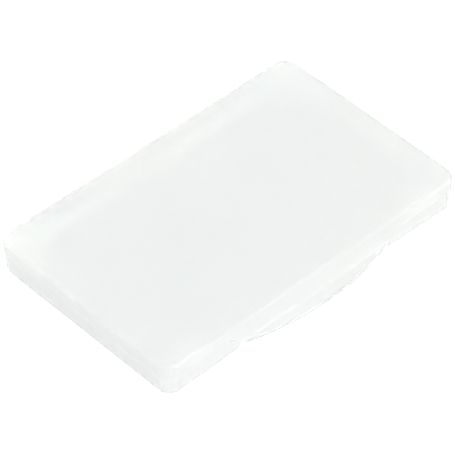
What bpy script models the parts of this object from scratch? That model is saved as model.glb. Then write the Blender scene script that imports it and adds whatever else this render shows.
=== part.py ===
"""Pocket case for business cards: base tray, lid with thumb flange, and a two-leaf hinge film.

Metres, Z up, resting on its floor at Z = 0, front (thumb flange) towards -Y, hinge towards +Y.
"""
import math

import bmesh
import bpy
from mathutils import Vector

# Overall sizes of the closed case, measured over the lid
CASE_LENGTH = 0.0970
CASE_WIDTH = 0.0611
CASE_HEIGHT = 0.0103
CORNER_RADIUS = 0.0040

# Parting line between base and lid, and the free space between pieces that touch
PARTING_HEIGHT = 0.00615
TOUCH_GAP = 0.0003

# Walls
WALL = 0.0011
TOP_THICKNESS = 0.0012
FLOOR_THICKNESS = 0.0012
LID_EDGE_RADIUS = 0.0010
BASE_EDGE_RADIUS = 0.0012
INNER_FILLET = 0.0006
RIM_ROUNDING = 0.0002
RIM_STEP = 0.0003
BASE_DRAFT = 0.00025
FRONT_BOW = 0.0005

# Thumb notch in the base's front wall, with beak-shaped ends
NOTCH_RIM_HALF_WIDTH = 0.0289
NOTCH_TIP_HEIGHT = 0.0019
NOTCH_SLOPE_DEG = 38.7
NOTCH_UNDERCUT_DEG = 45.0
NOSE_RADIUS = 0.0008
NOTCH_SETBACK = 0.0003

# Lid skirt that fills the notch
SKIRT_BOTTOM_HEIGHT = 0.0023
SKIRT_CLEARANCE = 0.0004
SKIRT_CORNER_ROUNDING = 0.0005

# Thumb flange at the foot of the skirt
FLANGE_REACH = 0.0036
FLANGE_HALF_CHORD = 0.0243
FLANGE_THICKNESS = 0.0011
FLANGE_EDGE_RADIUS = 0.0003
FLANGE_FILLET = 0.0006
FLANGE_END_BLEND = 0.0010

# Corner webs just above the lid's rim, measured from the lid's outer faces
WEB_RECESS = 0.0001
WEB_THICKNESS = 0.0007
WEB_ROUNDING = 0.0009
BACK_WEB_LENGTH = 0.0170
BACK_WEB_DEPTH = 0.0063
BACK_WEB_SIDE_LENGTH = 0.0145
BACK_WEB_SIDE_DEPTH = 0.0062
FRONT_WEB_START = 0.0060
FRONT_WEB_END = 0.0148
FRONT_WEB_DEPTH = 0.0056
WEB_SIDE_SLANT = 0.0012

# Hinge film along the back, as two leaves
HINGE_END_INSET = 0.0085
HINGE_REACH = 0.0012
FILM_THICKNESS = 0.0004
FILM_ROUNDING = 0.0001

# Fineness of the rounded forms
CORNER_STEPS = 12
FRONT_STEP = 0.0020
END_STEP = 0.0005

# Values that follow from the sizes above
HALF_X = CASE_LENGTH / 2
HALF_Y = CASE_WIDTH / 2
BASE_RIM = PARTING_HEIGHT - TOUCH_GAP / 2
LID_RIM = PARTING_HEIGHT + TOUCH_GAP / 2
AXIS_Y = HALF_Y + HINGE_REACH
AXIS = Vector((0.0, AXIS_Y, PARTING_HEIGHT))
BASE_FOOT_INSET = RIM_STEP + BASE_DRAFT


def arc(start_deg, end_deg, steps):
    """Angles in radians from start to end."""
    return [math.radians(start_deg + (end_deg - start_deg) * i / steps) for i in range(steps + 1)]


def even(low, high, step):
    """Evenly spread values from low to high, both included, no further apart than step."""
    count = max(1, math.ceil((high - low) / step - 1e-6))
    return [low + (high - low) * i / count for i in range(count + 1)]


def front_stops(half):
    """X positions along the front wall, closer together where the notch and flange end."""
    inner = min(FLANGE_HALF_CHORD, nose_centre()[0] - NOSE_RADIUS) - 0.003
    outer = max(NOTCH_RIM_HALF_WIDTH, FLANGE_HALF_CHORD) + 0.001
    outer = min(outer, half - 0.0005)
    inner = min(inner, outer - 0.001)
    middle = even(-inner, inner, FRONT_STEP)
    right_end = even(inner, outer, END_STEP)[1:]
    far_right = even(outer, half, 0.006)[1:]
    right = right_end + far_right
    return [-x for x in reversed(right)] + middle + right


def outline(front, half_x, half_y, radius):
    """Stations (x, y, nx, ny) round a rounded rectangle, counter-clockwise from the front left."""
    stations = []
    straight_x = half_x - radius
    straight_y = half_y - radius
    for x in front[:-1]:
        stations.append((x, -half_y, 0.0, -1.0))
    corners = [
        (straight_x, -straight_y, -90),
        (straight_x, straight_y, 0),
        (-straight_x, straight_y, 90),
        (-straight_x, -straight_y, 180),
    ]
    sides = [
        [(half_x, y) for y in even(-straight_y, straight_y, 0.014)[1:-1]],
        [(x, half_y) for x in reversed(even(-straight_x, straight_x, 0.014)[1:-1])],
        [(-half_x, y) for y in reversed(even(-straight_y, straight_y, 0.014)[1:-1])],
        [],
    ]
    for (cx, cy, start), side in zip(corners, sides):
        angles = arc(start, start + 90, CORNER_STEPS)
        if start == 180:
            angles = angles[:-1]
        for a in angles:
            nx = math.cos(a)
            ny = math.sin(a)
            stations.append((cx + radius * nx, cy + radius * ny, nx, ny))
        middle = math.radians(start + 90)
        for x, y in side:
            stations.append((x, y, math.cos(middle), math.sin(middle)))
    return stations


def loft(stations, section):
    """Closed mesh from one (outward, z) section per station, capped at its first and last points."""
    bm = bmesh.new()
    rows = []
    for x, y, nx, ny in stations:
        rows.append([bm.verts.new((x + d * nx, y + d * ny, z)) for d, z in section(x, y, ny)])
    count = len(rows)
    for i in range(count):
        a = rows[i]
        b = rows[(i + 1) % count]
        for j in range(len(a) - 1):
            bm.faces.new((a[j], b[j], b[j + 1], a[j + 1]))
    bm.faces.new([row[0] for row in rows])
    bm.faces.new([row[-1] for row in reversed(rows)])
    bmesh.ops.remove_doubles(bm, verts=bm.verts, dist=1e-7)
    bmesh.ops.recalc_face_normals(bm, faces=bm.faces)
    return bm


def prism(points, low, high, along):
    """Closed prism of a flat outline: along Z from XY points, or along Y from XZ points."""
    bm = bmesh.new()
    ends = []
    for level in (low, high):
        if along == "Z":
            ends.append([bm.verts.new((u, v, level)) for u, v in points])
        else:
            ends.append([bm.verts.new((u, level, v)) for u, v in points])
    first, last = ends
    count = len(points)
    for i in range(count):
        j = (i + 1) % count
        bm.faces.new((first[i], first[j], last[j], last[i]))
    bm.faces.new(first)
    bm.faces.new(list(reversed(last)))
    bmesh.ops.recalc_face_normals(bm, faces=bm.faces)
    return bm


def rounded(points, radius, steps=5):
    """The outline with each corner replaced by an arc; radius is one value or one per corner."""
    result = []
    count = len(points)
    for i, point in enumerate(points):
        r = radius[i] if isinstance(radius, (list, tuple)) else radius
        before = Vector(points[i - 1]) - Vector(point)
        after = Vector(points[(i + 1) % count]) - Vector(point)
        turn = before.angle(after)
        if r <= 0 or abs(turn - math.pi) < 1e-3:
            result.append(tuple(point))
            continue
        reach = min(r / math.tan(turn / 2), 0.45 * before.length, 0.45 * after.length)
        r = reach * math.tan(turn / 2)
        middle = (before.normalized() + after.normalized()).normalized()
        centre = Vector(point) + middle * (r / math.sin(turn / 2))
        start = Vector(point) + before.normalized() * reach - centre
        end = Vector(point) + after.normalized() * reach - centre
        sweep = start.angle_signed(end)
        for k in range(steps + 1):
            a = -sweep * k / steps
            x = start.x * math.cos(a) - start.y * math.sin(a)
            y = start.x * math.sin(a) + start.y * math.cos(a)
            result.append((centre.x + x, centre.y + y))
    return result


def material(name, colour, roughness):
    """Milky plastic in one tone."""
    mat = bpy.data.materials.new(name)
    mat.use_nodes = True
    bsdf = mat.node_tree.nodes["Principled BSDF"]
    bsdf.inputs["Base Color"].default_value = (*colour, 1.0)
    bsdf.inputs["Roughness"].default_value = roughness
    bsdf.inputs["Metallic"].default_value = 0.0
    mat.diffuse_color = (*colour, 1.0)
    return mat


def make_object(name, bm, mat=None, origin=None):
    """Object from a mesh, with its origin moved to a point if one is given."""
    mesh = bpy.data.meshes.new(name)
    if origin is not None:
        bmesh.ops.translate(bm, vec=-origin, verts=bm.verts)
    bm.to_mesh(mesh)
    bm.free()
    obj = bpy.data.objects.new(name, mesh)
    bpy.context.scene.collection.objects.link(obj)
    if origin is not None:
        obj.location = origin
    if mat is not None:
        mesh.materials.append(mat)
    return obj


def boolean(obj, tool, operation):
    """Exact boolean with a tool object that is not part of the case."""
    modifier = obj.modifiers.new(tool.name, "BOOLEAN")
    modifier.operation = operation
    modifier.solver = "EXACT"
    modifier.object = tool
    tool.hide_render = True
    tool.display_type = "WIRE"


def bake(obj):
    """Applies the modifiers and removes their tool objects."""
    depsgraph = bpy.context.evaluated_depsgraph_get()
    depsgraph.update()
    mesh = bpy.data.meshes.new_from_object(obj.evaluated_get(depsgraph))
    tools = [m.object for m in obj.modifiers]
    obj.modifiers.clear()
    obj.data = mesh
    for tool in tools:
        bpy.data.objects.remove(tool)


def smooth(obj, angle_deg=32.0):
    """Smooth shading that breaks at edges sharper than the angle."""
    obj.data.shade_smooth()
    obj.data.set_sharp_from_angle(angle=math.radians(angle_deg))


def nose_centre():
    """Centre (x, z) of the right beak's rounding: at the tip's height and tangent to the slope."""
    slope = math.radians(NOTCH_SLOPE_DEG)
    across = NOSE_RADIUS + (NOTCH_TIP_HEIGHT - BASE_RIM) * math.cos(slope)
    return NOTCH_RIM_HALF_WIDTH + across / math.sin(slope), NOTCH_TIP_HEIGHT


def notch_outline():
    """Front view of the notch, as XZ points from under the floor to above the rim."""
    slope = math.radians(NOTCH_SLOPE_DEG)
    cx, cz = nose_centre()
    right = []
    overshoot = 0.0015
    for a in arc(180 + NOTCH_UNDERCUT_DEG, 90 + NOTCH_SLOPE_DEG, 8):
        right.append((cx + NOSE_RADIUS * math.cos(a), cz + NOSE_RADIUS * math.sin(a)))
    x, z = right[0]
    down = z + overshoot
    right.insert(0, (x + down * math.tan(math.radians(NOTCH_UNDERCUT_DEG)), z - down))
    right.append((NOTCH_RIM_HALF_WIDTH + overshoot / math.tan(slope), BASE_RIM + overshoot))
    left = [(-x, z) for x, z in reversed(right)]
    return right + left


def build_base(mat):
    """Lower shell with its notch."""
    straight = HALF_X - CORNER_RADIUS
    inner_inset = BASE_FOOT_INSET + WALL

    section = []
    for a in arc(0, 90, 6):
        out = -BASE_FOOT_INSET - BASE_EDGE_RADIUS * (1 - math.sin(a))
        section.append((out, BASE_EDGE_RADIUS * (1 - math.cos(a))))
    for a in arc(0, 90, 2):
        out = -RIM_STEP - RIM_ROUNDING * (1 - math.cos(a))
        section.append((out, BASE_RIM - RIM_ROUNDING * (1 - math.sin(a))))
    for a in arc(90, 0, 2):
        out = -RIM_STEP - WALL + RIM_ROUNDING * (1 - math.cos(a))
        section.append((out, BASE_RIM - RIM_ROUNDING * (1 - math.sin(a))))
    for a in arc(0, 90, 4):
        out = -inner_inset - INNER_FILLET * (1 - math.cos(a))
        section.append((out, FLOOR_THICKNESS + INNER_FILLET * (1 - math.sin(a))))

    stations = []
    for x, y, nx, ny in outline(even(-straight, straight, 0.005), HALF_X, HALF_Y, CORNER_RADIUS):
        bow = FRONT_BOW * (1 - (x / straight) ** 2) if ny == -1.0 and abs(x) < straight else 0.0
        stations.append((x, y + bow, nx, ny))
    base = make_object("base_tray", loft(stations, lambda x, y, ny: section), mat)

    behind = HALF_Y - inner_inset - INNER_FILLET - FRONT_BOW - NOTCH_SETBACK
    cutter = make_object("notch_cutter", prism(notch_outline(), -HALF_Y - 0.005, -behind, "Y"))
    boolean(base, cutter, "DIFFERENCE")
    bake(base)
    smooth(base)
    return base


def skirt_edge(x):
    """Height of the lid wall's lower edge at a front position: the rim, or down the notch's slope."""
    slope = math.radians(NOTCH_SLOPE_DEG)
    along_slope = BASE_RIM + (abs(x) - NOTCH_RIM_HALF_WIDTH) * math.tan(slope)
    along_slope += SKIRT_CLEARANCE / math.cos(slope)
    spread = SKIRT_CORNER_ROUNDING ** 2
    gap = along_slope - SKIRT_BOTTOM_HEIGHT
    lower = SKIRT_BOTTOM_HEIGHT + 0.5 * (gap + math.sqrt(gap * gap + spread))
    return min(LID_RIM, lower)


def flange_reach(x):
    """How far the thumb flange stands out from the lid's face at a front position."""
    half = FLANGE_HALF_CHORD
    radius = (half ** 2 + FLANGE_REACH ** 2) / (2 * FLANGE_REACH)
    blend = FLANGE_END_BLEND
    if abs(x) <= half - blend:
        return math.sqrt(radius ** 2 - x ** 2) - (radius - FLANGE_REACH)
    edge = half - blend
    value = math.sqrt(radius ** 2 - edge ** 2) - (radius - FLANGE_REACH)
    left = max(0.0, half + blend - abs(x)) / (2 * blend)
    return value * left ** 2


def lid_section(x, y, ny):
    """Section of the lid at one station: top edge, outer wall, flange, lower edge, inner wall."""
    front = ny == -1.0
    low = skirt_edge(x) if front else LID_RIM
    reach = flange_reach(x) if front else 0.0
    top = low + FLANGE_THICKNESS
    share = min(1.0, reach / (FLANGE_EDGE_RADIUS + FLANGE_FILLET + 0.0001))
    points = []
    for a in arc(90, 0, 5):
        out = -LID_EDGE_RADIUS * (1 - math.cos(a))
        points.append((out, CASE_HEIGHT - LID_EDGE_RADIUS * (1 - math.sin(a))))
    for a in arc(0, 90, 4):
        out = FLANGE_FILLET * share * (1 - math.cos(a))
        points.append((out, top + FLANGE_FILLET * (1 - math.sin(a))))
    for a in arc(0, 90, 3):
        out = reach - FLANGE_EDGE_RADIUS * share * (1 - math.sin(a))
        points.append((out, top - FLANGE_EDGE_RADIUS * (1 - math.cos(a))))
    for a in arc(0, 90, 3):
        out = reach - FLANGE_EDGE_RADIUS * (1 - math.cos(a))
        points.append((out, low + FLANGE_EDGE_RADIUS * (1 - math.sin(a))))
    for a in arc(0, 90, 2):
        out = -WALL + RIM_ROUNDING * (1 - math.sin(a))
        points.append((out, low + RIM_ROUNDING * (1 - math.cos(a))))
    ceiling = CASE_HEIGHT - TOP_THICKNESS
    for a in arc(0, 90, 4):
        out = -WALL - INNER_FILLET * (1 - math.cos(a))
        points.append((out, ceiling - INNER_FILLET * (1 - math.sin(a))))
    return points


def back_web_outline():
    """L-shaped web at the back right corner, as XY points."""
    bite = WALL / 2
    r = CORNER_RADIUS - bite
    points = [
        (HALF_X - BACK_WEB_LENGTH, HALF_Y - bite),
        (HALF_X - BACK_WEB_LENGTH + WEB_SIDE_SLANT, HALF_Y - BACK_WEB_DEPTH),
        (HALF_X - BACK_WEB_SIDE_DEPTH, HALF_Y - BACK_WEB_DEPTH),
        (HALF_X - BACK_WEB_SIDE_DEPTH + WEB_SIDE_SLANT, HALF_Y - BACK_WEB_SIDE_LENGTH),
        (HALF_X - bite, HALF_Y - BACK_WEB_SIDE_LENGTH),
        (HALF_X - bite, HALF_Y - bite),
    ]
    return rounded(points, [0, WEB_ROUNDING, WEB_ROUNDING, WEB_ROUNDING, 0, r])


def front_web_outline():
    """Trapezoid web near the front right corner, as XY points."""
    bite = WALL / 2
    near = HALF_X - FRONT_WEB_START
    far = HALF_X - FRONT_WEB_END
    inner = -HALF_Y + FRONT_WEB_DEPTH
    points = [
        (near, -HALF_Y + bite),
        (near - WEB_SIDE_SLANT, inner),
        (far + WEB_SIDE_SLANT, inner),
        (far, -HALF_Y + bite),
    ]
    return rounded(points, [0, WEB_ROUNDING, WEB_ROUNDING, 0])


def build_lid(mat):
    """Upper shell with skirt, thumb flange and corner webs, its origin on the hinge axis."""
    straight = HALF_X - CORNER_RADIUS
    stations = outline(front_stops(straight), HALF_X, HALF_Y, CORNER_RADIUS)
    lid = make_object("lid", loft(stations, lid_section), mat)
    web_low = LID_RIM + WEB_RECESS
    for name, points in (("back_web", back_web_outline()), ("front_web", front_web_outline())):
        for side in (1, -1):
            shape = [(side * x, y) for x, y in points]
            if side < 0:
                shape.reverse()
            web = make_object(name, prism(shape, web_low, web_low + WEB_THICKNESS, "Z"))
            boolean(lid, web, "UNION")
    bake(lid)
    lid.data.transform(lid.matrix_world.Translation(-AXIS))
    lid.location = AXIS
    smooth(lid)
    return lid


def build_leaf(name, near, low, mat):
    """One leaf of the hinge film: a thin strip from near a back face to the hinge axis."""
    far = AXIS_Y - TOUCH_GAP / 2
    half = HALF_X - HINGE_END_INSET
    high = low + FILM_THICKNESS
    points = [(near, low), (far, low), (far, high), (near, high)]
    bm = bmesh.new()
    ends = []
    for x in (-half, half):
        ends.append([bm.verts.new((x, y, z)) for y, z in points])
    first, last = ends
    for i in range(4):
        j = (i + 1) % 4
        bm.faces.new((first[i], first[j], last[j], last[i]))
    bm.faces.new(first)
    bm.faces.new(list(reversed(last)))
    bmesh.ops.recalc_face_normals(bm, faces=bm.faces)
    bmesh.ops.bevel(bm, geom=bm.edges[:], offset=FILM_ROUNDING, segments=2, affect="EDGES", profile=0.5)
    leaf = make_object(name, bm, mat, AXIS)
    smooth(leaf)
    return leaf


def main():
    for obj in list(bpy.data.objects):
        bpy.data.objects.remove(obj)
    natural = (0.86, 0.885, 0.87)
    build_base(material("natural_plastic_base", natural, 0.38))
    build_lid(material("natural_plastic_lid", natural, 0.34))
    film = (0.88, 0.90, 0.885)
    base_back = HALF_Y - RIM_STEP + TOUCH_GAP
    film_base = material("natural_plastic_film_base", film, 0.32)
    build_leaf("hinge_leaf_base", base_back, BASE_RIM - FILM_THICKNESS, film_base)
    film_lid = material("natural_plastic_film_lid", film, 0.32)
    build_leaf("hinge_leaf_lid", HALF_Y + TOUCH_GAP, LID_RIM, film_lid)


main()
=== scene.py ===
"""Looks of the translucent pocket case for business cards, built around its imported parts.

Metres, Z up, resting on the floor at Z = 0, thumb flange towards -Y, hinge towards +Y.
"""
import math

import bmesh
import bpy
from mathutils import Matrix, Vector


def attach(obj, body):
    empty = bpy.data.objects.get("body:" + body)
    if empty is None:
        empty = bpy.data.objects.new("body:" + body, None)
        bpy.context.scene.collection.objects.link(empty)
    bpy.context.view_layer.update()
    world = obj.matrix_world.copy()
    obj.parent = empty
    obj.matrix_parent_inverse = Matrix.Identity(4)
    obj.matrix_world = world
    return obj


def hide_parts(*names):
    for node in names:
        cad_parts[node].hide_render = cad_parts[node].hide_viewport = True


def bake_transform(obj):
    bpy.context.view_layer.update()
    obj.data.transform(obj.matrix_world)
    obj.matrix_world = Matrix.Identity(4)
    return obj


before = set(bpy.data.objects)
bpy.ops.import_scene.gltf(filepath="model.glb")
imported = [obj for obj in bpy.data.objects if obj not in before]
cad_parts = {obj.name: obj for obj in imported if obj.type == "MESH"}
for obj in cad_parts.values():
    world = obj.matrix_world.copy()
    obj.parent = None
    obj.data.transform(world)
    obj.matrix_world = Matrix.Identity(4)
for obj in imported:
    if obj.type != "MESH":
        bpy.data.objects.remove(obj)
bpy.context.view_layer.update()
scene = bpy.context.scene

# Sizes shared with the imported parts
HALF_X = 0.0970 / 2
HALF_Y = 0.0611 / 2
CASE_HEIGHT = 0.0103
CORNER_RADIUS = 0.0040
PARTING_HEIGHT = 0.00615
WALL = 0.0011
TOP_THICKNESS = 0.0012
FLOOR_THICKNESS = 0.0012
LID_EDGE_RADIUS = 0.0010
BASE_EDGE_RADIUS = 0.0012
INNER_FILLET = 0.0006
RIM_ROUNDING = 0.0002
RIM_STEP = 0.0003
BASE_DRAFT = 0.00025
FRONT_BOW = 0.0005
NOTCH_RIM_HALF_WIDTH = 0.0289
NOTCH_TIP_HEIGHT = 0.0019
NOTCH_SLOPE = math.radians(38.7)
NOTCH_UNDERCUT = math.radians(45.0)
NOSE_RADIUS = 0.0008
NOTCH_SETBACK = 0.0003
CUTTER_OVERSHOOT = 0.0015
CUTTER_REACH = 0.005
SKIRT_BOTTOM_HEIGHT = 0.0023
SKIRT_CLEARANCE = 0.0004
SKIRT_CORNER_ROUNDING = 0.0005
FLANGE_REACH = 0.0036
FLANGE_HALF_CHORD = 0.0243
FLANGE_THICKNESS = 0.0011
FLANGE_EDGE_RADIUS = 0.0003
FLANGE_FILLET = 0.0006
FLANGE_END_BLEND = 0.0010
FLANGE_ROUNDED_REACH = FLANGE_EDGE_RADIUS + FLANGE_FILLET + 0.0001
WEB_THICKNESS = 0.0007
WEB_ROUNDING = 0.0009
WEB_SIDE_SLANT = 0.0012
HINGE_REACH = 0.0012
HINGE_END_INSET = 0.0085

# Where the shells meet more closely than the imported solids, which keep 0.3 mm apart
RIM_GAP = 0.00008
BASE_RIM = PARTING_HEIGHT - RIM_GAP / 2
LID_RIM = PARTING_HEIGHT + RIM_GAP / 2
WEB_LOW = 0.0064
BASE_FOOT_INSET = RIM_STEP + BASE_DRAFT
AXIS_Y = HALF_Y + HINGE_REACH

# Height at which the notch is as wide as its rim width says
SLOPE_FOOT = 0.0060

# Corner webs, measured inwards from the lid's outer faces
WEB_BITE = 0.0001
WEB_EDGE_BEVEL = 0.00012
BACK_WEB_END_X = 0.0170
BACK_WEB_END_Y = 0.0145
BACK_WEB_SIDE_X = 0.0062
BACK_WEB_SIDE_Y = 0.0063
FRONT_WEB_NEAR_X = 0.0060
FRONT_WEB_FAR_X = 0.0148
FRONT_WEB_SIDE_Y = 0.0056

# Hinge film, measured from the hinge axis
FILM_INNER = 0.00015
FILM_THICKNESS = 0.00030
FILM_ROOT = 0.00045
FILM_SINK = 0.0003
FILM_END_LENGTH = 0.002
FILM_END_SHRINK = 0.15

# Fineness of the rounded forms
CORNER_STEPS = 20
ROUNDING_STEPS = 8
ROUNDING_EDGE_SHARE = 0.45
FRONT_STEP = 0.0010
END_STEP = 0.00025
END_MARGIN_INWARDS = 0.003
END_MARGIN_OUTWARDS = 0.001
COARSE_STEP = 0.003
SIDE_STEP = 0.005
FILM_STEP = 0.002
FILM_ROOT_STEPS = 6
CAP_INSET = 0.0008
SAME_PLACE = 1e-7
SHELL_SHARP_ANGLE = math.radians(32)
FILM_SHARP_ANGLE = math.radians(40)

# The plastic: milkiness is the scattering density, per metre
REFRACTIVE_INDEX = 1.49
BASE_MILKINESS = 400.0
LID_MILKINESS = 300.0
WEB_MILKINESS = 2600.0
SCATTER_FORWARD = 0.2
YELLOWING = 4.5
YELLOW_TINT = (1.0, 0.98, 0.5, 1)
COOL_TONE = (0.972, 0.984, 0.988, 1)
WARM_TONE = (0.988, 0.996, 0.988, 1)
SATIN_TRANSMISSION = 0.69
CLEAR_TRANSMISSION = 1.0
ROUGHNESS = 0.10
CLOUD_ROUGHNESS = 0.04
MARK_ROUGHNESS = 0.08
MARK_DEPTH = -0.4
CLOUD_SCALE = 42.0
CLOUD_RANGE = (0.32, 0.70)
GRAIN_SCALE = 3200.0
GRAIN_HEIGHT = 0.00002
GRAIN_STRENGTH = 0.08

# Hairline marks: direction in degrees and the noise level above which they show
MARKS = ((12, 0.735), (-38, 0.745), (74, 0.75))
MARK_SPREAD = 0.05
MARK_STRETCH = (18, 1400, 18)
MARK_SHIFT = (0.37, 0.11)
MARK_WAVINESS = 0.15

# Where the satin outer faces begin and are complete: out from the corner axes, top and underside.
# The lid's inner wall is 2.9 mm out from those axes and its flat top ends at 3.0 mm.
WALL_BORDER = (0.00292, 0.00302)
TOP_BORDER = (0.0095, 0.0099)
UNDERSIDE_BORDER = (0.0008, 0.0004)

# Studio
SEEN_WHITE = 1.1
FLOOR_HALF_SIZE = 3.0
FLOOR_ROUGHNESS = 0.9
FLOOR_GREY = (0.35, 0.35, 0.35, 1)
FLOOR_GLOW = 0.475
FLOOR_GLOW_COLOR = (0.97, 0.987, 1.0, 1)
SKY = 0.815
SKY_COLOR = (0.97, 0.985, 1.0, 1)
SOFTBOX_SIZE = 0.8
WARM_LIGHT = (1.0, 0.96, 0.91)
NEAR_WHITE_LIGHT = (1.0, 0.98, 0.96)


def arc(start, end, steps):
    """Angles from start to end, given in degrees, returned in radians."""
    return [math.radians(start + (end - start) * i / steps) for i in range(steps + 1)]


def even(low, high, step):
    """Evenly spread values from low to high, both included, no further apart than step."""
    count = max(1, math.ceil((high - low) / step - 1e-6))
    return [low + (high - low) * i / count for i in range(count + 1)]


def nose_centre():
    """Centre (x, z) of the rounding of the right beak beside the notch."""
    across = NOSE_RADIUS + (NOTCH_TIP_HEIGHT - SLOPE_FOOT) * math.cos(NOTCH_SLOPE)
    return NOTCH_RIM_HALF_WIDTH + across / math.sin(NOTCH_SLOPE), NOTCH_TIP_HEIGHT


def front_stops(half):
    """X positions along the front wall, closer together where the notch and flange end."""
    inner = nose_centre()[0] - NOSE_RADIUS - END_MARGIN_INWARDS
    outer = NOTCH_RIM_HALF_WIDTH + END_MARGIN_OUTWARDS
    right = even(inner, outer, END_STEP)[1:] + even(outer, half, COARSE_STEP)[1:]
    return [-x for x in reversed(right)] + even(-inner, inner, FRONT_STEP) + right


def outline(front, half_x, half_y, radius):
    """Stations (x, y, nx, ny) round a rounded rectangle, counter-clockwise from the front left."""
    straight_x = half_x - radius
    straight_y = half_y - radius
    stations = [(x, -half_y, 0.0, -1.0) for x in front[:-1]]
    corners = (
        (straight_x, -straight_y, -90),
        (straight_x, straight_y, 0),
        (-straight_x, straight_y, 90),
        (-straight_x, -straight_y, 180),
    )
    across = even(-straight_y, straight_y, SIDE_STEP)[1:-1]
    along = even(-straight_x, straight_x, SIDE_STEP)[1:-1]
    sides = (
        [(half_x, y) for y in across],
        [(x, half_y) for x in reversed(along)],
        [(-half_x, y) for y in reversed(across)],
        [],
    )
    for (cx, cy, start), side in zip(corners, sides):
        angles = arc(start, start + 90, CORNER_STEPS)
        if start == 180:
            angles = angles[:-1]
        for a in angles:
            nx, ny = math.cos(a), math.sin(a)
            stations.append((cx + radius * nx, cy + radius * ny, nx, ny))
        middle = math.radians(start + 90)
        for x, y in side:
            stations.append((x, y, math.cos(middle), math.sin(middle)))
    return stations


def loft(stations, section):
    """Closed mesh from one (outward, z) section per station, capped at its first and last points."""
    bm = bmesh.new()
    rows = []
    for x, y, nx, ny in stations:
        rows.append([bm.verts.new((x + d * nx, y + d * ny, z)) for d, z in section(x, ny)])
    count = len(rows)
    for i in range(count):
        a, b = rows[i], rows[(i + 1) % count]
        for j in range(len(a) - 1):
            bm.faces.new((a[j], b[j], b[j + 1], a[j + 1]))
    caps = [
        bm.faces.new([row[0] for row in rows]),
        bm.faces.new([row[-1] for row in reversed(rows)]),
    ]
    bmesh.ops.inset_region(bm, faces=caps, thickness=CAP_INSET, use_even_offset=True)
    bmesh.ops.remove_doubles(bm, verts=bm.verts, dist=SAME_PLACE)
    bmesh.ops.recalc_face_normals(bm, faces=bm.faces)
    return bm


def prism(points, low, high, along):
    """Closed prism of a flat outline: along Z from XY points, or along Y from XZ points."""
    bm = bmesh.new()
    ends = []
    for level in (low, high):
        if along == "Z":
            ends.append([bm.verts.new((u, v, level)) for u, v in points])
        else:
            ends.append([bm.verts.new((u, level, v)) for u, v in points])
    first, last = ends
    for i in range(len(points)):
        j = (i + 1) % len(points)
        bm.faces.new((first[i], first[j], last[j], last[i]))
    bm.faces.new(first)
    bm.faces.new(list(reversed(last)))
    bmesh.ops.recalc_face_normals(bm, faces=bm.faces)
    return bm


def rounded(points, radii):
    """The outline with each corner replaced by an arc of its own radius."""
    result = []
    for i, point in enumerate(points):
        here = Vector(point)
        before = Vector(points[i - 1]) - here
        after = Vector(points[(i + 1) % len(points)]) - here
        turn = before.angle(after)
        if radii[i] <= 0:
            result.append(tuple(point))
            continue
        shorter = min(before.length, after.length)
        reach = min(radii[i] / math.tan(turn / 2), ROUNDING_EDGE_SHARE * shorter)
        r = reach * math.tan(turn / 2)
        middle = (before.normalized() + after.normalized()).normalized()
        centre = here + middle * (r / math.sin(turn / 2))
        start = here + before.normalized() * reach - centre
        sweep = start.angle_signed(here + after.normalized() * reach - centre)
        for k in range(ROUNDING_STEPS + 1):
            a = -sweep * k / ROUNDING_STEPS
            x = start.x * math.cos(a) - start.y * math.sin(a)
            y = start.x * math.sin(a) + start.y * math.cos(a)
            result.append((centre.x + x, centre.y + y))
    return result


def make_object(name, bm):
    mesh = bpy.data.meshes.new(name)
    bm.to_mesh(mesh)
    bm.free()
    obj = bpy.data.objects.new(name, mesh)
    scene.collection.objects.link(obj)
    return obj


def cut_away(obj, tool):
    """Cuts a tool object out of an object and removes the tool."""
    modifier = obj.modifiers.new(tool.name, "BOOLEAN")
    modifier.operation = "DIFFERENCE"
    modifier.solver = "EXACT"
    modifier.object = tool
    depsgraph = bpy.context.evaluated_depsgraph_get()
    depsgraph.update()
    mesh = bpy.data.meshes.new_from_object(obj.evaluated_get(depsgraph))
    obj.modifiers.clear()
    obj.data = mesh
    bpy.data.objects.remove(tool)


def shade(obj):
    """Smooth shading that breaks at sharp edges, with flat faces kept flat."""
    obj.data.shade_smooth()
    obj.data.set_sharp_from_angle(angle=SHELL_SHARP_ANGLE)
    weighted = obj.modifiers.new("weighted_normals", "WEIGHTED_NORMAL")
    weighted.keep_sharp = True
    weighted.weight = 80


def notch_outline():
    """Front view of the notch, as XZ points from under the floor to above the rim."""
    cx, cz = nose_centre()
    low_angle = 180 + math.degrees(NOTCH_UNDERCUT)
    high_angle = 90 + math.degrees(NOTCH_SLOPE)
    right = []
    for a in arc(low_angle, high_angle, 16):
        right.append((cx + NOSE_RADIUS * math.cos(a), cz + NOSE_RADIUS * math.sin(a)))
    x, z = right[0]
    down = z + CUTTER_OVERSHOOT
    right.insert(0, (x + down * math.tan(NOTCH_UNDERCUT), z - down))
    top = SLOPE_FOOT + CUTTER_OVERSHOOT
    right.append((NOTCH_RIM_HALF_WIDTH + CUTTER_OVERSHOOT / math.tan(NOTCH_SLOPE), top))
    return right + [(-x, z) for x, z in reversed(right)]


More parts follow.
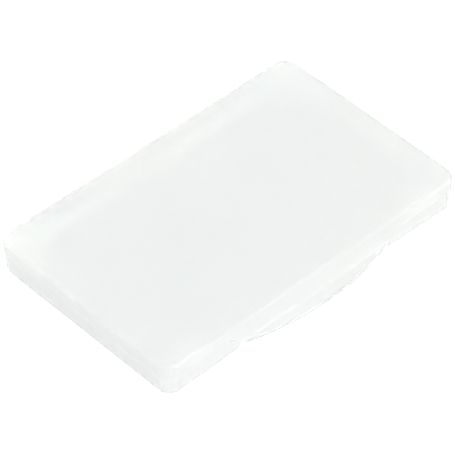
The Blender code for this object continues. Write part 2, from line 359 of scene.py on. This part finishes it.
def build_base():
    """Lower shell, with the notch for the lid's skirt."""
    straight = HALF_X - CORNER_RADIUS
    inner_inset = BASE_FOOT_INSET + WALL
    section = []
    for a in arc(0, 90, 10):
        out = -BASE_FOOT_INSET - BASE_EDGE_RADIUS * (1 - math.sin(a))
        section.append((out, BASE_EDGE_RADIUS * (1 - math.cos(a))))
    for a in arc(0, 90, 4):
        out = -RIM_STEP - RIM_ROUNDING * (1 - math.cos(a))
        section.append((out, BASE_RIM - RIM_ROUNDING * (1 - math.sin(a))))
    for a in arc(90, 0, 4):
        out = -RIM_STEP - WALL + RIM_ROUNDING * (1 - math.cos(a))
        section.append((out, BASE_RIM - RIM_ROUNDING * (1 - math.sin(a))))
    for a in arc(0, 90, 6):
        out = -inner_inset - INNER_FILLET * (1 - math.cos(a))
        section.append((out, FLOOR_THICKNESS + INNER_FILLET * (1 - math.sin(a))))
    stations = []
    front = even(-straight, straight, COARSE_STEP)
    for x, y, nx, ny in outline(front, HALF_X, HALF_Y, CORNER_RADIUS):
        bow = FRONT_BOW * (1 - (x / straight) ** 2) if ny == -1.0 and abs(x) < straight else 0.0
        stations.append((x, y + bow, nx, ny))
    shell = make_object("base_shell", loft(stations, lambda x, ny: section))
    behind = HALF_Y - inner_inset - INNER_FILLET - FRONT_BOW - NOTCH_SETBACK
    block = prism(notch_outline(), -HALF_Y - CUTTER_REACH, -behind, "Y")
    cutter = make_object("notch_cutter", block)
    cut_away(shell, cutter)
    shade(shell)
    return shell


def skirt_edge(x):
    """Height of the lid wall's lower edge at a front position: the rim, or down the notch's slope."""
    along_slope = SLOPE_FOOT + (abs(x) - NOTCH_RIM_HALF_WIDTH) * math.tan(NOTCH_SLOPE)
    along_slope += SKIRT_CLEARANCE / math.cos(NOTCH_SLOPE)
    gap = along_slope - SKIRT_BOTTOM_HEIGHT
    lower = SKIRT_BOTTOM_HEIGHT + 0.5 * (gap + math.sqrt(gap * gap + SKIRT_CORNER_ROUNDING ** 2))
    return min(LID_RIM, lower)


def flange_reach(x):
    """How far the thumb flange stands out from the lid's face at a front position."""
    half = FLANGE_HALF_CHORD
    radius = (half ** 2 + FLANGE_REACH ** 2) / (2 * FLANGE_REACH)
    if abs(x) <= half - FLANGE_END_BLEND:
        return math.sqrt(radius ** 2 - x ** 2) - (radius - FLANGE_REACH)
    edge = half - FLANGE_END_BLEND
    value = math.sqrt(radius ** 2 - edge ** 2) - (radius - FLANGE_REACH)
    left = max(0.0, half + FLANGE_END_BLEND - abs(x)) / (2 * FLANGE_END_BLEND)
    return value * left ** 2


def lid_section(x, ny):
    """Section of the lid at one station: top edge, outer wall, flange, lower edge, inner wall."""
    front = ny == -1.0
    low = skirt_edge(x) if front else LID_RIM
    reach = flange_reach(x) if front else 0.0
    top = low + FLANGE_THICKNESS
    share = min(1.0, reach / FLANGE_ROUNDED_REACH)
    ceiling = CASE_HEIGHT - TOP_THICKNESS
    points = []
    for a in arc(90, 0, 9):
        out = -LID_EDGE_RADIUS * (1 - math.cos(a))
        points.append((out, CASE_HEIGHT - LID_EDGE_RADIUS * (1 - math.sin(a))))
    for a in arc(0, 90, 6):
        out = FLANGE_FILLET * share * (1 - math.cos(a))
        points.append((out, top + FLANGE_FILLET * (1 - math.sin(a))))
    for a in arc(0, 90, 4):
        out = reach - FLANGE_EDGE_RADIUS * share * (1 - math.sin(a))
        points.append((out, top - FLANGE_EDGE_RADIUS * (1 - math.cos(a))))
    for a in arc(0, 90, 4):
        out = reach - FLANGE_EDGE_RADIUS * (1 - math.cos(a))
        points.append((out, low + FLANGE_EDGE_RADIUS * (1 - math.sin(a))))
    for a in arc(0, 90, 4):
        out = -WALL + RIM_ROUNDING * (1 - math.sin(a))
        points.append((out, low + RIM_ROUNDING * (1 - math.cos(a))))
    for a in arc(0, 90, 6):
        out = -WALL - INNER_FILLET * (1 - math.cos(a))
        points.append((out, ceiling - INNER_FILLET * (1 - math.sin(a))))
    return points


def build_lid():
    """Upper shell with skirt and thumb flange."""
    stations = outline(front_stops(HALF_X - CORNER_RADIUS), HALF_X, HALF_Y, CORNER_RADIUS)
    shell = make_object("lid_shell", loft(stations, lid_section))
    shade(shell)
    return shell


def web_outlines():
    """The webs in the lid's right back and right front corners, as XY points."""
    bite = WALL - WEB_BITE
    side_x = HALF_X - BACK_WEB_SIDE_X
    back_y = HALF_Y - BACK_WEB_SIDE_Y
    end_y = HALF_Y - BACK_WEB_END_Y
    back = [
        (HALF_X - BACK_WEB_END_X, HALF_Y - bite),
        (HALF_X - BACK_WEB_END_X + WEB_SIDE_SLANT, back_y),
        (side_x, back_y),
        (side_x + WEB_SIDE_SLANT, end_y),
        (HALF_X - bite, end_y),
        (HALF_X - bite, HALF_Y - bite),
    ]
    r = WEB_ROUNDING
    yield rounded(back, [0, r, r, r, 0, CORNER_RADIUS - bite])
    near = HALF_X - FRONT_WEB_NEAR_X
    far = HALF_X - FRONT_WEB_FAR_X
    inner = -HALF_Y + FRONT_WEB_SIDE_Y
    front = [
        (near, -HALF_Y + bite),
        (near - WEB_SIDE_SLANT, inner),
        (far + WEB_SIDE_SLANT, inner),
        (far, -HALF_Y + bite),
    ]
    yield rounded(front, [0, r, r, 0])


def build_webs():
    """The four corner webs, whose outer edges end inside the lid's walls."""
    whole = bmesh.new()
    for points in web_outlines():
        for side in (1, -1):
            shape = [(side * x, y) for x, y in points]
            if side < 0:
                shape.reverse()
            bm = prism(shape, WEB_LOW, WEB_LOW + WEB_THICKNESS, "Z")
            rims = [e for e in bm.edges if abs(e.verts[0].co.z - e.verts[1].co.z) < SAME_PLACE]
            bmesh.ops.bevel(
                bm, geom=rims, offset=WEB_EDGE_BEVEL, segments=3, affect="EDGES", profile=0.5)
            mesh = bpy.data.meshes.new("web")
            bm.to_mesh(mesh)
            bm.free()
            whole.from_mesh(mesh)
            bpy.data.meshes.remove(mesh)
    webs = make_object("corner_webs", whole)
    shade(webs)
    return webs


def film_section():
    """Section (behind, above the hinge axis) of the film: base root, bend, lid root and back."""
    outer = FILM_INNER + FILM_THICKNESS
    base_face = -(AXIS_Y - (HALF_Y - RIM_STEP)) - FILM_SINK
    lid_face = -HINGE_REACH - FILM_SINK
    section = []
    for k in range(FILM_ROOT_STEPS):
        t = k / FILM_ROOT_STEPS
        section.append((base_face * (1 - t), -outer - FILM_ROOT * (1 - t) ** 3))
    for a in arc(-90, 90, 20):
        section.append((outer * math.cos(a), outer * math.sin(a)))
    for k in range(FILM_ROOT_STEPS - 1, -1, -1):
        t = k / FILM_ROOT_STEPS
        section.append((lid_face * (1 - t), outer + FILM_ROOT * (1 - t) ** 3))
    section.append((lid_face, FILM_INNER))
    for a in arc(90, -90, 12):
        section.append((FILM_INNER * math.cos(a), FILM_INNER * math.sin(a)))
    section.append((base_face, -FILM_INNER))
    return section


def build_film():
    """Hinge film: one strip that leaves the base, bends round the hinge axis and enters the lid."""
    half = HALF_X - HINGE_END_INSET
    section = film_section()
    bm = bmesh.new()
    rows = []
    for x in even(-half, half, FILM_STEP):
        near_end = min(1.0, (half - abs(x)) / FILM_END_LENGTH)
        shrink = 1.0 - FILM_END_SHRINK * (1.0 - near_end) ** 2
        row = []
        for u, v in section:
            behind = AXIS_Y + u * shrink if u > 0 else AXIS_Y + u
            row.append(bm.verts.new((x, behind, PARTING_HEIGHT + v)))
        rows.append(row)
    for a, b in zip(rows, rows[1:]):
        for j in range(len(section)):
            k = (j + 1) % len(section)
            bm.faces.new((a[j], a[k], b[k], b[j]))
    bm.faces.new(list(reversed(rows[0])))
    bm.faces.new(rows[-1])
    bmesh.ops.recalc_face_normals(bm, faces=bm.faces)
    strip = make_object("hinge_film", bm)
    strip.data.shade_smooth()
    strip.data.set_sharp_from_angle(angle=FILM_SHARP_ANGLE)
    return strip


# Materials
def nodes_of(material):
    material.use_nodes = True
    return material.node_tree


def noise(nt, coords, scale, detail, distortion=0.0):
    texture = nt.nodes.new("ShaderNodeTexNoise")
    texture.inputs["Scale"].default_value = scale
    texture.inputs["Detail"].default_value = detail
    texture.inputs["Distortion"].default_value = distortion
    nt.links.new(coords, texture.inputs["Vector"])
    return texture.outputs["Fac"]


def ramp(nt, value, low, high):
    """0 up to low, 1 from high on, and straight in between."""
    step = nt.nodes.new("ShaderNodeMapRange")
    step.inputs["From Min"].default_value = low
    step.inputs["From Max"].default_value = high
    nt.links.new(value, step.inputs["Value"])
    return step.outputs["Result"]


def largest(nt, values):
    result = values[0]
    for value in values[1:]:
        step = nt.nodes.new("ShaderNodeMath")
        step.operation = "MAXIMUM"
        nt.links.new(result, step.inputs[0])
        nt.links.new(value, step.inputs[1])
        result = step.outputs[0]
    return result


def scaled_plus(nt, value, factor, plus):
    """value * factor + plus, where plus is a number or another value."""
    step = nt.nodes.new("ShaderNodeMath")
    step.operation = "MULTIPLY_ADD"
    nt.links.new(value, step.inputs[0])
    step.inputs[1].default_value = factor
    if isinstance(plus, float):
        step.inputs[2].default_value = plus
    else:
        nt.links.new(plus, step.inputs[2])
    return step.outputs[0]


def scratch_mask(nt, coords, angle, cut):
    """Sparse thin straight marks along one direction, as a 0 to 1 value."""
    turn = nt.nodes.new("ShaderNodeMapping")
    turn.inputs["Rotation"].default_value = (0, 0, math.radians(angle))
    turn.inputs["Scale"].default_value = MARK_STRETCH
    turn.inputs["Location"].default_value = (angle * MARK_SHIFT[0], angle * MARK_SHIFT[1], 0)
    nt.links.new(coords, turn.inputs["Vector"])
    streaks = noise(nt, turn.outputs["Vector"], scale=1.0, detail=1.0, distortion=MARK_WAVINESS)
    return ramp(nt, streaks, cut, cut + MARK_SPREAD)


def outside_mask(nt, coords):
    """1 on the outer faces of the shut case and 0 inside it.

    It goes by the height, and by the distance out from the axes of the rounded corners.
    """
    out = coords
    for operation, vector in (("MULTIPLY", (1.0, 1.0, 0.0)),
                              ("ABSOLUTE", None),
                              ("SUBTRACT", (HALF_X - CORNER_RADIUS, HALF_Y - CORNER_RADIUS, 0.0)),
                              ("MAXIMUM", (0.0, 0.0, 0.0)),
                              ("LENGTH", None)):
        step = nt.nodes.new("ShaderNodeVectorMath")
        step.operation = operation
        nt.links.new(out, step.inputs[0])
        if vector is not None:
            step.inputs[1].default_value = vector
        out = step.outputs["Value" if operation == "LENGTH" else "Vector"]
    split = nt.nodes.new("ShaderNodeSeparateXYZ")
    nt.links.new(coords, split.inputs[0])
    height = split.outputs["Z"]
    return largest(nt, [
        ramp(nt, out, *WALL_BORDER),
        ramp(nt, height, *TOP_BORDER),
        ramp(nt, height, *UNDERSIDE_BORDER),
    ])


def plastic(name, milkiness, outer_transmission):
    """Natural polypropylene: milky, satin, with moulding cloudiness, fine grain and hairline marks."""
    mat = bpy.data.materials.new(name)
    nt = nodes_of(mat)
    bsdf = nt.nodes["Principled BSDF"]
    out = nt.nodes["Material Output"]
    bsdf.inputs["IOR"].default_value = REFRACTIVE_INDEX
    coords = nt.nodes.new("ShaderNodeTexCoord").outputs["Object"]

    cloud = noise(nt, coords, CLOUD_SCALE, detail=2.0)
    tone = nt.nodes.new("ShaderNodeValToRGB")
    cool, warm = tone.color_ramp.elements
    cool.position, warm.position = CLOUD_RANGE
    cool.color, warm.color = COOL_TONE, WARM_TONE
    nt.links.new(cloud, tone.inputs["Fac"])
    nt.links.new(tone.outputs["Color"], bsdf.inputs["Base Color"])

    outside = outside_mask(nt, coords)
    clearness = scaled_plus(nt, outside, outer_transmission - CLEAR_TRANSMISSION, CLEAR_TRANSMISSION)
    nt.links.new(clearness, bsdf.inputs["Transmission Weight"])

    marks = largest(nt, [scratch_mask(nt, coords, angle, cut) for angle, cut in MARKS])
    satin = scaled_plus(nt, cloud, CLOUD_ROUGHNESS, ROUGHNESS)
    worn = scaled_plus(nt, marks, MARK_ROUGHNESS, satin)
    nt.links.new(worn, bsdf.inputs["Roughness"])

    relief = scaled_plus(nt, marks, MARK_DEPTH, noise(nt, coords, GRAIN_SCALE, detail=2.0))
    bump = nt.nodes.new("ShaderNodeBump")
    bump.inputs["Strength"].default_value = GRAIN_STRENGTH
    bump.inputs["Distance"].default_value = GRAIN_HEIGHT
    nt.links.new(relief, bump.inputs["Height"])
    nt.links.new(bump.outputs["Normal"], bsdf.inputs["Normal"])

    milk = nt.nodes.new("ShaderNodeVolumeScatter")
    milk.inputs["Density"].default_value = milkiness
    milk.inputs["Color"].default_value = (1, 1, 1, 1)
    milk.inputs["Anisotropy"].default_value = SCATTER_FORWARD
    tint = nt.nodes.new("ShaderNodeVolumeAbsorption")
    tint.inputs["Color"].default_value = YELLOW_TINT
    tint.inputs["Density"].default_value = YELLOWING
    both = nt.nodes.new("ShaderNodeAddShader")
    nt.links.new(milk.outputs["Volume"], both.inputs[0])
    nt.links.new(tint.outputs["Volume"], both.inputs[1])
    nt.links.new(both.outputs[0], out.inputs["Volume"])
    return mat


base = build_base()
lid = build_lid()
webs = build_webs()
film = build_film()
base.data.materials.append(plastic("milky_base", BASE_MILKINESS, SATIN_TRANSMISSION))
lid.data.materials.append(plastic("milky_lid", LID_MILKINESS, SATIN_TRANSMISSION))
webs.data.materials.append(plastic("milky_webs", WEB_MILKINESS, CLEAR_TRANSMISSION))
film.data.materials.append(plastic("milky_film", BASE_MILKINESS, SATIN_TRANSMISSION))

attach(base, "base")
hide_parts("base_tray")
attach(lid, "lid")
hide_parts("lid")
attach(webs, "lid")
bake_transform(film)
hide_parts("hinge_leaf_base", "hinge_leaf_lid")


# Stage
def camera_white(nt, lit, white_kind, output):
    """Shows plain white where it is seen directly, and the lit shader to light and reflections."""
    white = nt.nodes.new(white_kind)
    white.inputs["Strength"].default_value = SEEN_WHITE
    path = nt.nodes.new("ShaderNodeLightPath")
    mix = nt.nodes.new("ShaderNodeMixShader")
    nt.links.new(path.outputs["Is Camera Ray"], mix.inputs[0])
    nt.links.new(lit.outputs[0], mix.inputs[1])
    nt.links.new(white.outputs[0], mix.inputs[2])
    nt.links.new(mix.outputs[0], nt.nodes[output].inputs["Surface"])


floor_bm = bmesh.new()
bmesh.ops.create_grid(floor_bm, x_segments=2, y_segments=2, size=FLOOR_HALF_SIZE)
floor = make_object("floor", floor_bm)
floor_mat = bpy.data.materials.new("floor")
floor_nt = nodes_of(floor_mat)
floor_bsdf = floor_nt.nodes["Principled BSDF"]
floor_bsdf.inputs["Base Color"].default_value = FLOOR_GREY
floor_bsdf.inputs["Roughness"].default_value = FLOOR_ROUGHNESS
floor_bsdf.inputs["Emission Color"].default_value = FLOOR_GLOW_COLOR
floor_bsdf.inputs["Emission Strength"].default_value = FLOOR_GLOW
camera_white(floor_nt, floor_bsdf, "ShaderNodeEmission", "Material Output")
floor.data.materials.append(floor_mat)

studio = bpy.data.worlds.new("studio")
scene.world = studio
studio_nt = nodes_of(studio)
background = studio_nt.nodes["Background"]
background.inputs["Color"].default_value = SKY_COLOR
background.inputs["Strength"].default_value = SKY
camera_white(studio_nt, background, "ShaderNodeBackground", "World Output")


def softbox(name, azimuth, elevation, power, color):
    """Large soft light a metre away, aimed at the case from a direction in degrees.

    Azimuth 0 is the front, 90 the right.
    """
    data = bpy.data.lights.new(name, "AREA")
    data.shape = "RECTANGLE"
    data.size, data.size_y = SOFTBOX_SIZE, SOFTBOX_SIZE
    data.energy = power
    data.color = color
    light = bpy.data.objects.new(name, data)
    scene.collection.objects.link(light)
    a, e = math.radians(azimuth), math.radians(elevation)
    away = Vector((math.sin(a) * math.cos(e), -math.cos(a) * math.cos(e), math.sin(e)))
    light.location = away
    light.rotation_mode = "QUATERNION"
    light.rotation_quaternion = (-away).to_track_quat("-Z", "Y")
    light.visible_camera = False


softbox("front_light", 0, 25, 5.0, WARM_LIGHT)
softbox("back_light", 180, 25, 5.2, WARM_LIGHT)
softbox("left_light", -90, 8, 2.0, NEAR_WHITE_LIGHT)

# Camera at the photograph's angle
camera_data = bpy.data.cameras.new("camera")
camera_data.sensor_width = 36
camera_data.lens = 270.03
camera_data.clip_start = 0.01
camera_data.clip_end = 20
camera = bpy.data.objects.new("camera", camera_data)
scene.collection.objects.link(camera)
right = Vector((0.72816, -0.68541, 0.0))
up = Vector((0.47834, 0.50817, 0.71623))
back = Vector((-0.49091, -0.52152, 0.69788))
place = Vector((-0.41029, -0.43510, 0.58575))
camera.matrix_world = Matrix((
    (right.x, up.x, back.x, place.x),
    (right.y, up.y, back.y, place.y),
    (right.z, up.z, back.z, place.z),
    (0, 0, 0, 1),
))
scene.camera = camera

# Many bounces and no softening of highlights, so that the scattered light stays in the picture
scene.view_settings.view_transform = "Standard"
scene.cycles.blur_glossy = 0.0
scene.cycles.max_bounces = 128
scene.cycles.diffuse_bounces = 32
scene.cycles.glossy_bounces = 64
scene.cycles.transmission_bounces = 64
scene.cycles.volume_bounces = 64
